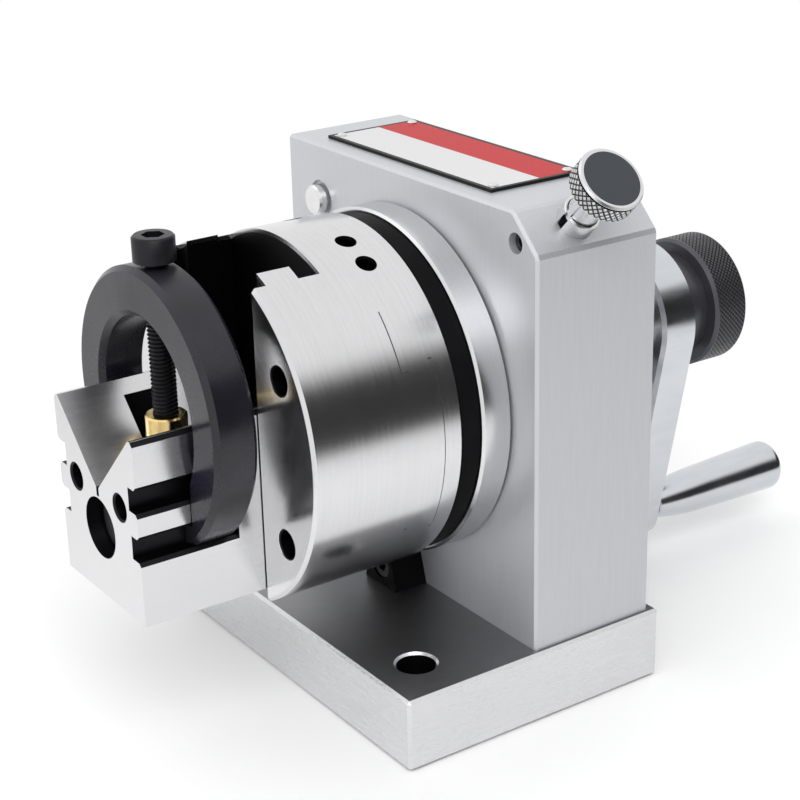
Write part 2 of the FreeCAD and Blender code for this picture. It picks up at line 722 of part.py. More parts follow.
def make_spindle():
    """Spindle with its flange, and the notched index disc screwed to the shoulder behind it."""
    body = spindle_body("spindle")
    edge = "flange_edge"
    revolve(body, [
        ("-spigot_front", "0"), ("-spigot_front", "spigot_radius - " + edge),
        ("%s - spigot_front" % edge, "spigot_radius"), ("-flange_front", "spigot_radius"),
        ("-flange_front", "flange_radius - " + edge), ("%s - flange_front" % edge, "flange_radius"),
        ("-turn_gap - " + edge, "flange_radius"), ("-turn_gap", "flange_radius - " + edge),
        ("-turn_gap", "journal_radius"), ("journal_length", "journal_radius"),
        ("journal_length", "disc_seat"), ("disc_back", "disc_seat"),
        ("disc_back", "rear_journal"), ("thrust_back", "rear_journal"),
        ("thrust_back", "nut_thread"), ("lock_nut_back + thread_relief", "nut_thread"),
        ("lock_nut_back + thread_relief", "shoulder_radius"), ("crank_front", "shoulder_radius"),
        ("crank_front", "crank_seat"), ("crank_back - face_gap", "crank_seat"),
        ("crank_back - face_gap", "tail_radius"), ("tail_back - tail_edge", "tail_radius"),
        ("tail_back", "tail_radius - tail_edge"), ("tail_back", "0")])
    spots = four("head_screw_across", "head_screw_rise")
    pocket(body, circles(body, "XZ_Plane", "head_screw + clear_gap", spots), "flange_front + cut_past", True)
    pocket(body, circles(body, "XZ_Plane", "head_screw_head + clear_gap", spots), "head_seat", True)
    disc_spots = four("disc_screw_spread", "disc_screw_spread")
    tapped = circles(body, "XZ_Plane", "disc_screw + seat_gap", disc_spots, "-journal_length")
    pocket(body, tapped, "disc_screw_length - disc_screw_seat + journal_length + tap_spare", True)
    key = new_sketch(body, "XZ_Plane", "-crank_back")
    rectangle(key, "-key_width / 2", "crank_seat - key_in_shaft", "key_width / 2", "crank_seat + cut_past")
    pocket(body, key, "key_length + cut_past", True)
    disc = spindle_body("index_disc")
    blank = new_sketch(disc, "XZ_Plane", "-journal_length")
    circle(blank, "disc_radius")
    circle(blank, "disc_seat + seat_gap")
    pad(disc, blank, "disc_thickness", True)
    notch = new_sketch(disc, "XZ_Plane", "-journal_length")
    rectangle(notch, "-notch_width / 2", "disc_radius - notch_depth",
              "notch_width / 2", "disc_radius + cut_past")
    first = pocket(disc, notch, "disc_thickness")
    document.recompute()
    pattern = disc.newObject("PartDesign::PolarPattern", "index_disc_notches")
    pattern.Originals = [first]
    pattern.Axis = (notch, ["N_Axis"])
    pattern.Angle = 360.0
    pattern.setExpression("Occurrences", bind("notch_count"))
    disc.Tip = pattern
    holes = circles(disc, "XZ_Plane", "disc_screw + clear_gap", disc_spots, "-journal_length")
    pocket(disc, holes, "disc_thickness")
    seats = circles(disc, "XZ_Plane", "disc_screw_head + clear_gap", disc_spots, "-disc_screw_seat")
    pocket(disc, seats, "disc_thickness")
    screws = spindle_body("index_disc_screws")
    cap_screws(screws, "XZ_Plane", disc_spots, "-disc_screw_seat", "disc_screw", True)


def make_slide_head():
    """Slide head: the drum whose upright T-channel guides the V-block and its nut."""
    spots = four("head_screw_across", "head_screw_rise")
    spacer = ring("spacer_ring", "ring_radius", "spigot_radius + seat_gap",
                  "-ring_front", "-flange_front", "fine_edge")
    holes = circles(spacer, "XZ_Plane", "head_screw + clear_gap", spots, "ring_front")
    pocket(spacer, holes, "ring_thickness")
    body = spindle_body("slide_head")
    revolve(body, [
        ("-head_front", "0"), ("-head_front", "head_radius - head_edge"),
        ("head_edge - head_front", "head_radius"), ("-ring_front - head_edge", "head_radius"),
        ("-ring_front", "head_radius - head_edge"), ("-ring_front", "0")])
    socket = circles(body, "XZ_Plane", "spigot_radius + seat_gap", [("0", "0")], "ring_front")
    pocket(body, socket, "spigot_length + clear_gap", True)
    for front, back, half in (("head_front", "guide_floor", "channel_half"),
                              ("guide_floor", "rib_back", "rib_half"),
                              ("rib_back", "channel_floor", "channel_half")):
        channel = new_sketch(body, "XZ_Plane", front)
        rectangle(channel, "-" + half, "-head_radius - cut_past", half, "head_radius + cut_past")
        pocket(body, channel, "%s - %s" % (front, back))
    face = four("face_hole_width / 2", "face_hole_rise / 2")
    pocket(body, circles(body, "XZ_Plane", "face_hole", face, "head_front"), "face_hole_depth")
    tapped = circles(body, "XZ_Plane", "head_screw + seat_gap", spots, "ring_front")
    pocket(body, tapped, "head_screw_length + head_seat - ring_front + tap_spare", True)
    screws = spindle_body("slide_head_screws")
    cap_screws(screws, "XZ_Plane", spots, "head_seat", "head_screw", True)
    set_screws = spindle_body("head_set_screws")
    line = "-ring_front - radial_hole_back"
    point = "(spigot_radius + face_gap)"
    foot = "(spigot_radius + face_gap + set_screw_tip)"
    top = "(spigot_radius + face_gap + set_screw_length)"
    for tilt in ("radial_near", "radial_far", "-radial_near", "-radial_far"):
        bore = new_sketch(body, "XY_Plane", "0", tilt, ("0", line))
        circle(bore, "radial_hole")
        pocket(body, bore, "head_radius + cut_past", True)
        across, rise = " * sin(%s)" % tilt, " * cos(%s)" % tilt
        screw = new_sketch(set_screws, "XY_Plane", foot + rise, tilt, (foot + across, line))
        circle(screw, "set_screw")
        pad(set_screws, screw, "set_screw_length - set_screw_tip")
        tip = new_sketch(set_screws, "XY_Plane", point + rise, tilt, (point + across, line))
        circle(tip, "set_screw_point")
        pad(set_screws, tip, "set_screw_tip * 3 / 2")
        key = new_sketch(set_screws, "XY_Plane", top + rise, tilt, (top + across, line))
        hexagon(key, "set_screw", "0", "0")
        pocket(set_screws, key, "set_screw_length / 4")
    chamfer(body, "face_hole_lead", round_edge("face_hole", "y", "-head_front"))


def make_block():
    """V-block with side slots for the yoke, window under the pad, T-nut, lock screw and washer."""
    body = spindle_body("v_block")
    section = new_sketch(body, "XZ_Plane", "block_back")
    side, slit = "block_half", "relief_width / 2"
    right = [(side, "block_top - block_chamfer"), ("block_half - block_chamfer", "block_top"),
             ("vee_half", "block_top"), (slit, slit + " - vee_drop"), (slit, "-vee_drop - relief_depth")]
    left = [("-(%s)" % across, up) for across, up in reversed(right)]
    outline(section, [("-" + side, "-block_bottom"), (side, "-block_bottom")] + right + left)
    pad(body, section, "block_front - block_back")
    slots = new_sketch(body, "XZ_Plane", "block_front")
    lip, out = "block_half - slot_flare", "block_half + cut_past"
    for foot in ("upper_slot", "lower_slot"):
        low, high = "-" + foot, "slot_height - " + foot
        half_slot = [
            ("slot_wall", low), (lip, low), (side, low + " - slot_flare"), (out, low + " - slot_flare"),
            (out, high + " + slot_flare"), (side, high + " + slot_flare"), (lip, high), ("slot_wall", high)]
        outline(slots, half_slot)
        outline(slots, [("-(%s)" % across, up) for across, up in reversed(half_slot)])
    pocket(body, slots, "slot_run")
    window = new_sketch(body, "XY_Plane", "-window_floor")
    rectangle(window, "-window_width / 2", "-window_front", "window_width / 2", "window_run - window_front")
    pocket(body, window, "window_floor + block_top + cut_past", True)
    lock = [("0", "-lock_drop")]
    clear = circles(body, "XZ_Plane", "lock_screw + lock_room", lock, "block_front")
    pocket(body, clear, "block_front - block_back + cut_past")
    seat = circles(body, "XZ_Plane", "lock_counterbore", lock, "block_front")
    pocket(body, seat, "block_front - lock_seat")
    tapped = [(hand + "tapped_spread / 2", "-tapped_drop") for hand in ("", "-")]
    pocket(body, circles(body, "XZ_Plane", "tapped_radius", tapped, "block_front"), "tapped_depth")
    chamfer(body, "tapped_lead", round_edge("tapped_radius", "y", "-block_front"))
    nut = spindle_body("t_nut")
    low, high = "-lock_drop - slide_nut_height / 2", "slide_nut_height / 2 - lock_drop"
    play = "2 * face_gap"
    plate = new_sketch(nut, "XZ_Plane", "rib_back - face_gap")
    rectangle(plate, play + " - channel_half", low, "channel_half - " + play, high)
    pad(nut, plate, "rib_back - channel_floor - " + play, True)
    neck = new_sketch(nut, "XZ_Plane", "rib_back - face_gap")
    rectangle(neck, play + " - rib_half", low, "rib_half - " + play, high)
    pad(nut, neck, "rib_thickness")
    pocket(nut, circles(nut, "XZ_Plane", "lock_screw + seat_gap", lock, "block_front"), "block_front")
    screw = spindle_body("lock_screw")
    cap_screws(screw, "XZ_Plane", lock, "lock_head_seat", "lock_screw", False)
    washer = spindle_body("lock_washer")
    blank = circles(washer, "XZ_Plane", "lock_washer_radius", lock, "lock_seat")
    circle(blank, "lock_screw + clear_gap", *lock[0])
    pad(washer, blank, "lock_washer")


def make_yoke():
    """Yoke: the ring that straddles the V-block, its feet hooked into the block's side slots."""
    body = new_body("yoke", "0", "centre_height + yoke_rise")
    revolve(body, [
        ("-yoke_front", "yoke_mouth + mouth_edge"), ("-yoke_front", "yoke_radius - yoke_edge"),
        ("yoke_edge - yoke_front", "yoke_radius"), ("-yoke_back - yoke_edge", "yoke_radius"),
        ("-yoke_back", "yoke_radius - yoke_edge"), ("-yoke_back", "yoke_mouth"),
        ("mouth_edge - yoke_front", "yoke_mouth")])
    lips, foot = "-yoke_rise - lip_high", "-yoke_rise - lip_low"
    cuts = (("yoke_inner", lips, "0"), ("lip_half", foot + " - cut_past", lips + " + cut_past"),
            ("yoke_radius", "-yoke_radius - cut_past", foot))
    for half, low, high in cuts:
        cut = new_sketch(body, "XZ_Plane", "yoke_front")
        rectangle(cut, "-" + half, low, half, high)
        pocket(body, cut, "yoke_thickness")
    hole = new_sketch(body, "XY_Plane", "0", None, ("0", "-screw_line"))
    circle(hole, "clamp_screw + running_gap")
    pocket(body, hole, "yoke_radius + cut_past", True)


def make_clamp():
    """Clamp screw, the brass pad on its end and the pin that keeps the pad on."""
    axis = ("-screw_line", "centre_height")
    screw = new_body("clamp_screw", *axis)
    neck_low, neck_high = "pad_pin_rise - pad_pin - running_gap", "pad_pin_rise + pad_pin + running_gap"
    revolve(screw, [
        ("0", "clamp_end"), ("clamp_screw - fine_edge", "clamp_end"),
        ("clamp_screw", "clamp_end + fine_edge"), ("clamp_screw", neck_low),
        ("clamp_neck", neck_low), ("clamp_neck", neck_high),
        ("clamp_screw", neck_high), ("clamp_screw", "clamp_seat"), ("clamp_head", "clamp_seat"),
        ("clamp_head", "clamp_top - pin_edge"), ("clamp_head - pin_edge", "clamp_top"), ("0", "clamp_top")],
        upright=True)
    key = new_sketch(screw, "XY_Plane", "clamp_top")
    hexagon(key, "clamp_head", "0", "0")
    pocket(screw, key, "clamp_height * key_share")
    brass = new_body("brass_pad", *axis)
    bore, floor = "clamp_screw + running_gap", "clamp_end - clear_gap"
    revolve(brass, [
        ("0", "pad_base"), ("pad_radius - fine_edge", "pad_base"), ("pad_radius", "pad_base + fine_edge"),
        ("pad_radius", "pad_top - fine_edge"), ("pad_radius - fine_edge", "pad_top"), (bore, "pad_top"),
        (bore, floor), ("0", floor)], upright=True)
    spot = [("0", "pad_pin_rise")]
    side = circles(brass, "YZ_Plane", "pad_pin + seat_gap", spot, "pad_radius + cut_past")
    pocket(brass, side, "pad_radius + cut_past - clamp_neck")
    pin = new_body("pad_pin", *axis)
    across = circles(pin, "YZ_Plane", "pad_pin", spot, "clamp_neck + running_gap")
    pad(pin, across, "pad_radius - clamp_neck - 2 * running_gap")


def make_plunger():
    """Index plunger: sleeve in the cut corner, spring-loaded pin, pull knob with its cap."""
    sleeve = plunger_body("plunger_sleeve")
    guide, stem = "plunger_radius + running_gap", "stem_radius + running_gap"
    revolve(sleeve, [
        (guide, "sleeve_foot"), ("sleeve_radius", "sleeve_foot"),
        ("sleeve_radius", "sleeve_top - sleeve_edge"), ("sleeve_radius - sleeve_edge", "sleeve_top"),
        ("cup_radius", "sleeve_top"), ("cup_radius", "cup_floor"), (stem, "cup_floor"),
        (stem, "web_floor"), (guide, "web_floor")], upright=True)
    notch = new_sketch(sleeve, "XY_Plane", "sleeve_top")
    rectangle(notch, "-key_rib / 2 - clear_gap", "-sleeve_radius - cut_past",
              "key_rib / 2 + clear_gap", "cut_past - cup_radius")
    pocket(sleeve, notch, "plunger_travel + clear_gap")
    grub = new_body("sleeve_set_screw")
    spot, end = [("grub_across", "grub_rise")], "sleeve_radius - plunger_back + running_gap"
    pad(grub, circles(grub, "XZ_Plane", "grub_radius", spot, end), "grub_length")
    key = new_sketch(grub, "XZ_Plane", end + " + grub_length")
    hexagon(key, "grub_radius", *spot[0])
    pocket(grub, key, "grub_length / 3")
    pin = plunger_body("plunger_pin")
    revolve(pin, [
        ("0", "plunger_tip"), ("plunger_radius - pin_edge", "plunger_tip"),
        ("plunger_radius", "plunger_tip + pin_edge"), ("plunger_radius", "shoulder_along"),
        ("stem_radius", "shoulder_along"), ("stem_radius", "knob_low + stem_hold"),
        ("0", "knob_low + stem_hold")], upright=True)
    knob = plunger_body("plunger_knob")
    shank_end, inner = "sleeve_top - shank_overlap", "stem_radius + seat_gap"
    groove, lid = "knob_top - groove_drop", "knob_top - cap_thickness"
    stem_floor = "knob_low + stem_hold + running_gap"
    revolve(knob, [
        (inner, shank_end), ("shank_radius", shank_end), ("shank_radius", "knob_low"),
        ("knob_radius - fine_edge", "knob_low"), ("knob_radius", "knob_low + fine_edge"),
        ("knob_radius", groove),
        ("knob_radius - knob_groove", groove), ("knob_radius - knob_groove", groove + " + knob_groove"),
        ("knob_radius", groove + " + knob_groove"), ("knob_radius", "knob_top - fine_edge"),
        ("knob_radius - fine_edge", "knob_top"), ("cap_radius + seat_gap", "knob_top"),
        ("cap_radius + seat_gap", lid), ("0", lid), ("0", stem_floor), (inner, stem_floor)],
        upright=True)
    rib = new_sketch(knob, "XY_Plane", "knob_low")
    rectangle(rib, "-key_rib / 2", "-sleeve_radius", "key_rib / 2", "rib_bite - shank_radius")
    pad(knob, rib, "knob_low - sleeve_top - sunk_gap", True)
    cap = plunger_body("plunger_cap")
    disc = new_sketch(cap, "XY_Plane", lid)
    circle(disc, "cap_radius")
    pad(cap, disc, "cap_thickness + cap_proud")
    spring = plunger_body("plunger_spring")
    wire = new_sketch(spring, "XZ_Plane")
    circle(wire, "spring_wire", "spring_radius", "shoulder_along + spring_wire + running_gap")
    helix = spring.newObject("PartDesign::AdditiveHelix", "plunger_spring_coil")
    helix.Profile = wire
    helix.ReferenceAxis = (wire, ["V_Axis"])
    helix.Mode = "height-turns-angle"
    helix.setExpression("Height", bind("web_floor - shoulder_along - 2 * spring_wire - 2 * running_gap"))
    helix.setExpression("Turns", bind("spring_turns"))


def make_crank():
    """Crank arm keyed to the spindle, the turning grip and the screw it runs on."""
    body = spindle_body("crank_arm")
    arm = new_sketch(body, "XZ_Plane", "-crank_front")
    hub_x, hub_z = "crank_hub * crank_spread", "-crank_hub * crank_lean"
    tip_x, tip_z = "crank_tip * crank_spread", "-crank_throw - crank_tip * crank_lean"
    outline(arm, [
        (hub_x, hub_z, "crank_hub", 1), ("0", "crank_hub", "crank_hub", 1), ("-" + hub_x, hub_z),
        ("-" + tip_x, tip_z, "crank_tip", 1), (tip_x, tip_z)])
    pad(body, arm, "crank_thickness", True)
    chamfer(body, "crank_edge", lambda edge: edge.BoundBox.YLength < TOUCH)
    hub = new_sketch(body, "XZ_Plane", "-crank_front")
    circle(hub, "crank_seat + seat_gap")
    pocket(body, hub, "crank_thickness")
    slot = new_sketch(body, "XZ_Plane", "-crank_front")
    rectangle(slot, "-key_width / 2 - seat_gap", "crank_seat - key_in_shaft", "key_width / 2 + seat_gap",
              "crank_seat + key_in_hub + running_gap")
    pocket(body, slot, "crank_thickness")
    tip = new_sketch(body, "XZ_Plane", "-crank_front")
    circle(tip, "grip_thread + seat_gap", "0", "-crank_throw")
    pocket(body, tip, "crank_thickness")
    key = spindle_body("crank_key")
    side = new_sketch(key, "XZ_Plane", "clear_gap - crank_back")
    rectangle(side, "-key_width / 2", "crank_seat - key_in_shaft", "key_width / 2", "crank_seat + key_in_hub")
    pad(key, side, "key_length")
    axis = ("0", "centre_height - crank_throw")
    screw = new_body("grip_screw", *axis)
    end, collar_back, seat = "crank_front + cut_past", "grip_front - face_gap", "grip_floor + running_gap"
    revolve(screw, [
        (end, "0"), (end, "grip_thread"), ("crank_back", "grip_thread"),
        ("crank_back", "grip_collar"), (collar_back, "grip_collar"), (collar_back, "grip_pin"),
        (seat, "grip_pin"), (seat, "grip_head"), (seat + " + grip_head_height - fine_edge", "grip_head"),
        (seat + " + grip_head_height", "grip_head - fine_edge"), (seat + " + grip_head_height", "0")])
    socket = new_sketch(screw, "XZ_Plane", "-(%s + grip_head_height)" % seat)
    hexagon(socket, "grip_head", "0", "0")
    pocket(screw, socket, "grip_head_height * key_share", True)
    grip = new_body("crank_grip", *axis)
    bore = "grip_pin + running_gap"
    revolve(grip, [
        ("grip_front", bore), ("grip_front", "grip_neck - fine_edge"),
        ("grip_front + fine_edge", "grip_neck", "grip_sweep", -1),
        ("grip_front + grip_waist", "waist_radius"),
        ("grip_back - grip_round", "grip_radius", "grip_round", -1), ("grip_back", "grip_radius - grip_round"),
        ("grip_back", "grip_recess"), ("grip_floor", "grip_recess"), ("grip_floor", bore)])


def make_clamp_nut():
    """Washer and knurled nut that clamp the crank on the spindle's threaded tail."""
    ring("clamp_washer", "washer_radius", "tail_radius + clear_gap", "washer_front", "washer_back")
    body = spindle_body("clamp_nut")
    inner, floor = "tail_radius + running_gap", "nut_back - nut_blind"
    revolve(body, [
        ("nut_front", inner), ("nut_front", "nut_collar - fine_edge"),
        ("nut_front + fine_edge", "nut_collar"), ("nut_collar_back", "nut_collar"),
        ("nut_collar_back", "nut_head - nut_edge"),
        ("nut_collar_back + nut_edge", "nut_head"), ("nut_back - nut_edge", "nut_head"),
        ("nut_back", "nut_head - nut_edge"), ("nut_back", "0"), (floor, "0"), (floor, inner)])


def check_and_write():
    """Recompute, stop at any failed object or shape, then write one file for each sub-part."""
    document.recompute()
    failed = [item.Name for item in document.Objects if "Invalid" in item.State or "Error" in item.State]
    bad = [item.Label for item in SUBPARTS if item.Shape.isNull() or not item.Shape.isValid()]
    if failed or bad:
        raise RuntimeError("failed: %s, bad shapes: %s" % (failed, bad))
    os.makedirs("parts", exist_ok=True)
    for item in SUBPARTS:
        item.Shape.exportStep("parts/%s.step" % item.Label)
        box = item.Shape.BoundBox
        print("%-18s %d solids %9.1f mm3  x %6.1f %6.1f  y %6.1f %6.1f  z %6.1f %6.1f" % (
            item.Label, len(item.Shape.Solids), item.Shape.Volume,
            box.XMin, box.XMax, box.YMin, box.YMax, box.ZMin, box.ZMax))


fill_sheet()
make_base()
make_headstock()
make_frame_fasteners()
make_nameplate()
make_bearings()
make_spindle()
make_slide_head()
make_block()
make_yoke()
make_clamp()
make_plunger()
make_crank()
make_clamp_nut()
check_and_write()
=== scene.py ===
import logging
import math
from dataclasses import dataclass
from enum import Enum
from typing import Optional, Union

import bmesh
import bpy
from mathutils import Matrix, Vector


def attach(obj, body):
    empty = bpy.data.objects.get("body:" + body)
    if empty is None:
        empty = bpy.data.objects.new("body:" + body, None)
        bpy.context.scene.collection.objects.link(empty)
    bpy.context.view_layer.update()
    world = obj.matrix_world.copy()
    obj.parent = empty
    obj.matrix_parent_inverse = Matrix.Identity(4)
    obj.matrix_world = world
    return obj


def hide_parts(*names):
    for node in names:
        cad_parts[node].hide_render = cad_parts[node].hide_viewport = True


# Looks of a punch former: ground and turned steel, black oxide, polished crank, brass pad, printed plate.

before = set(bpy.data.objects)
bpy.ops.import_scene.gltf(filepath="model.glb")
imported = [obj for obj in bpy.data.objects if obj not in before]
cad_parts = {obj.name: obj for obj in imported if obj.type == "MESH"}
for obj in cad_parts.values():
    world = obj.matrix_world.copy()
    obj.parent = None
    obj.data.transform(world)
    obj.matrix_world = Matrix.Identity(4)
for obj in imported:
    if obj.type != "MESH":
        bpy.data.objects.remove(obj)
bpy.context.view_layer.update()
LOG = logging.getLogger("punch_former")

Colour = tuple[float, float, float]
Number = Union[float, "Signal"]
AXIS_HEIGHT = 0.075
SPINDLE = Vector((0.0, 0.0, AXIS_HEIGHT))
PLUNGER_FOOT = Vector((0.0, 0.0146, AXIS_HEIGHT))
PLUNGER_LEAN = math.radians(45.0)
TONE_SPAN = (0.3, 0.7)
# Black of the oxide left in hollows; the base's top face is also blended toward it as painted shade.
OXIDE_AND_SHADE_BLACK: Colour = (0.022, 0.022, 0.025)


class Grain(Enum):
    """Which way the fine lines of a machined surface run."""

    ALONG_Y = (1.0, 0.05, 1.0)
    ALONG_Z = (1.0, 1.0, 0.05)
    LEVEL = (0.05, 0.05, 1.0)


class Signal:
    """One changing value of a material, with the usual operators."""

    def __init__(self, graph: "Graph", socket: bpy.types.NodeSocket) -> None:
        """Keep the graph and the socket that carries the value."""
        self.graph = graph
        self.socket = socket

    def __add__(self, other: Number) -> "Signal":
        """Add a value."""
        return self.graph.maths("ADD", self, other)

    def __sub__(self, other: Number) -> "Signal":
        """Take a value away."""
        return self.graph.maths("SUBTRACT", self, other)

    def __rsub__(self, other: Number) -> "Signal":
        """Take this from a value."""
        return self.graph.maths("SUBTRACT", other, self)

    def __mul__(self, other: Number) -> "Signal":
        """Multiply by a value."""
        return self.graph.maths("MULTIPLY", self, other)

    def __truediv__(self, other: Number) -> "Signal":
        """Divide by a value."""
        return self.graph.maths("DIVIDE", self, other)

    __radd__ = __add__
    __rmul__ = __mul__

    def over(self, level: float) -> "Signal":
        """Give 1 where this is over a level."""
        return self.graph.maths("GREATER_THAN", self, level)

    def within(self, low: float, high: float) -> "Signal":
        """Give 1 where this lies between two levels."""
        return self.over(low) * (1.0 - self.over(high))

    def under(self, level: float) -> "Signal":
        """Give 1 where this is under a level."""
        return self.graph.maths("LESS_THAN", self, level)

    def size(self) -> "Signal":
        """Give the value without its sign."""
        return self.graph.maths("ABSOLUTE", self)

    def either(self, other: "Signal") -> "Signal":
        """Give the larger of two values."""
        return self.graph.maths("MAXIMUM", self, other)

    def near(self, level: float, width: float) -> "Signal":
        """Give 1 where this is within a width of a level."""
        return self.graph.maths("COMPARE", self, level, width)

    def zigzag(self) -> "Signal":
        """Give a wave of straight flanks from 0 to 1 and back over each whole step."""
        return self.graph.maths("PINGPONG", self, 0.5) * 2.0

    def least(self, other: Number) -> "Signal":
        """Give the smaller of two values."""
        return self.graph.maths("MINIMUM", self, other)


class Nodes:
    """The nodes of one tree, of a material or of the world."""

    def __init__(self, tree: bpy.types.NodeTree) -> None:
        """Keep the tree that the nodes go into.

        Args:
            tree: The node tree.
        """
        self.tree = tree

    def add(self, kind: str, settings: Optional[dict] = None, **values) -> bpy.types.Node:
        """Add a node.

        Args:
            kind: The node's type.
            settings: Properties that are set before any value.
            **values: Values or links by the socket's name, with underscores for spaces, or in0, in1 by place.

        Returns:
            The new node.
        """
        node = self.tree.nodes.new(kind)
        for name, value in (settings or {}).items():
            setattr(node, name, value)
        for name, value in values.items():
            by_place = name[:2] == "in" and name[2:].isdigit()
            socket = node.inputs[int(name[2:])] if by_place else node.inputs[name.replace("_", " ")]
            self.feed(socket, value)
        return node

    def feed(self, socket: bpy.types.NodeSocket, value) -> None:
        """Set a socket to a value, or link it to a signal or an output."""
        if isinstance(value, Signal):
            value = value.socket
        if isinstance(value, bpy.types.NodeSocket):
            self.tree.links.new(value, socket)
        else:
            socket.default_value = value

    def maths(self, operation: str, *values: Number) -> Signal:
        """Work out one Math node.

        Args:
            operation: The node's operation.
            *values: Its values in order.

        Returns:
            The result.
        """
        feeds = {f"in{place}": value for place, value in enumerate(values)}
        return Signal(self, self.add("ShaderNodeMath", {"operation": operation}, **feeds).outputs[0])

    def split(self, vector: bpy.types.NodeSocket) -> tuple[Signal, Signal, Signal]:
        """Give the three parts of a vector."""
        node = self.add("ShaderNodeSeparateXYZ", None, in0=vector)
        return tuple(Signal(self, output) for output in node.outputs)

    def join(self, across: Number, deep: Number, up: Number) -> bpy.types.NodeSocket:
        """Make a vector of three values."""
        return self.add("ShaderNodeCombineXYZ", None, in0=across, in1=deep, in2=up).outputs[0]

    def noise(self, vector: bpy.types.NodeSocket, scale: float, detail: float = 3.0) -> Signal:
        """Give a noise from 0 to 1.

        Args:
            vector: Where it is read.
            scale: Cells to a metre.
            detail: Octaves.

        Returns:
            The noise.
        """
        node = self.add("ShaderNodeTexNoise", None, Vector=vector, Scale=scale, Detail=detail)
        return Signal(self, node.outputs[0])

    def ramp(self, value: Number, low: float, high: float, first: float, last: float) -> Signal:
        """Map a value's range smoothly and clamped onto another."""
        node = self.add("ShaderNodeMapRange", {"interpolation_type": "SMOOTHSTEP"},
                        in0=value, in1=low, in2=high, in3=first, in4=last)
        return Signal(self, node.outputs[0])

    def blend(self, share: Number, first, second) -> bpy.types.NodeSocket:
        """Mix two colours.

        Args:
            share: How much of the second.
            first: A colour or a socket.
            second: A colour or a socket.

        Returns:
            The mixed colour.
        """
        first, second = (value + (1.0,) if isinstance(value, tuple) else value for value in (first, second))
        node = self.add("ShaderNodeMix", {"data_type": "RGBA"}, in0=share, in6=first, in7=second)
        return node.outputs[2]


class Graph(Nodes):
    """The nodes of one material."""

    def __init__(self, name: str) -> None:
        """Start a material with its shader and its object coordinates.

        Args:
            name: The material's name.
        """
        self.material = bpy.data.materials.new(name)
        self.material.use_nodes = True
        super().__init__(self.material.node_tree)
        self.shader = self.tree.nodes["Principled BSDF"]
        self.place = self.add("ShaderNodeTexCoord").outputs["Object"]

    def mapped(self, scale: tuple[float, float, float]) -> bpy.types.NodeSocket:
        """Give the object coordinates stretched by three factors."""
        return self.add("ShaderNodeMapping", None, Vector=self.place, Scale=scale).outputs[0]

    def tint(self, tone: Signal, base: Colour, dark: float, light: float) -> bpy.types.NodeSocket:
        """Vary a colour with a tone.

        Args:
            tone: A noise from 0 to 1.
            base: The colour.
            dark: Its factor where the tone is low.
            light: Its factor where the tone is high.

        Returns:
            The varied colour.
        """
        low, high = (tuple(min(1.0, part * factor) for part in base) for factor in (dark, light))
        return self.blend(self.ramp(tone, *TONE_SPAN, 0.0, 1.0), low, high)

    def vary(self, tone: Signal, middle: float, below: float, above: float) -> Signal:
        """Vary a value with a tone.

        Args:
            tone: A noise from 0 to 1.
            middle: The value.
            below: How far under it the value goes where the tone is low.
            above: How far over it the value goes where the tone is high.

        Returns:
            The varied value.
        """
        return self.ramp(tone, *TONE_SPAN, middle - below, middle + above)

    def bump(self, height: Signal, depth: float, normal: Optional[bpy.types.NodeSocket] = None
             ) -> bpy.types.NodeSocket:
        """Give a normal raised by a height.

        Args:
            height: From 0 to 1.
            depth: Metres at a height of 1.
            normal: The normal below it.

        Returns:
            The new normal.
        """
        values = {"Height": height, "Distance": depth, "Strength": 1.0}
        if normal is not None:
            values["Normal"] = normal
        return self.add("ShaderNodeBump", None, **values).outputs[0]

    def polar(self, foot: Vector, turn: Matrix) -> tuple[Signal, Signal, Signal]:
        """Give radius, angle in turns and height about an axis.

        Args:
            foot: A point on the axis.
            turn: The rotation that takes the axis to Z.

        Returns:
            Radius in metres, angle from -0.5 to 0.5 of a turn, height in metres.
        """
        moved = self.add("ShaderNodeMapping", None, Vector=self.place, Location=tuple(-(turn @ foot)),
                         Rotation=tuple(turn.to_euler()))
        across, deep, along = self.split(moved.outputs[0])
        radius = self.maths("SQRT", across * across + deep * deep)
        return radius, self.maths("ARCTAN2", deep, across) / (2.0 * math.pi), along

    def finish(self, **values) -> bpy.types.Material:
        """Feed the shader's sockets and give the material."""
        for name, value in values.items():
            if isinstance(value, tuple) and len(value) == 3:
                value = value + (1.0,)
            self.feed(self.shader.inputs[name.replace("_", " ")], value)
        return self.material


Y_TO_Z = Matrix.Rotation(math.radians(90.0), 3, "X")
PLUNGER_TO_Z = Matrix.Rotation(-PLUNGER_LEAN, 3, "Y")


@dataclass(frozen=True)
class GroundSteel:
    """Bright steel from a surface grinder, with straight fine lines and a soft cloudy sheen."""

    name: str
    grain: Grain
    base: Colour = (0.70, 0.70, 0.71)
    shades: tuple[float, float] = (0.94, 1.05)
    roughness: float = 0.27
    streak: float = 0.05
    recess_roughness: float = 0.2
    fine_scale: float = 9000.0
    broad_scale: float = 1500.0
    cloud_scale: float = 26.0
    depth: float = 0.0000010

    def recess(self, graph: Graph) -> Number:
        """Give 1 where the grinder didn't reach; here nowhere."""
        return 0.0

    def build(self) -> bpy.types.Material:
        """Make the material."""
        graph = Graph(self.name)
        lines = graph.noise(graph.mapped(self.grain.value), self.fine_scale, 2.0)
        broad = graph.noise(graph.mapped(self.grain.value), self.broad_scale, 2.0)
        cloud = graph.noise(graph.place, self.cloud_scale, 3.0)
        tone = lines * 0.4 + broad * 0.25 + cloud * 0.35
        roughness = graph.vary(tone, self.roughness, self.streak / 2, self.streak / 2)
        # 1 gives the oxide black; on the base, the top face's share of it is painted shade.
        black = self.recess(graph)
        colour = graph.blend(black, graph.tint(tone, self.base, *self.shades), OXIDE_AND_SHADE_BLACK)
        return graph.finish(Base_Color=colour, Metallic=1.0,
                            Roughness=roughness + black * self.recess_roughness,
                            Normal=graph.bump(lines, self.depth))


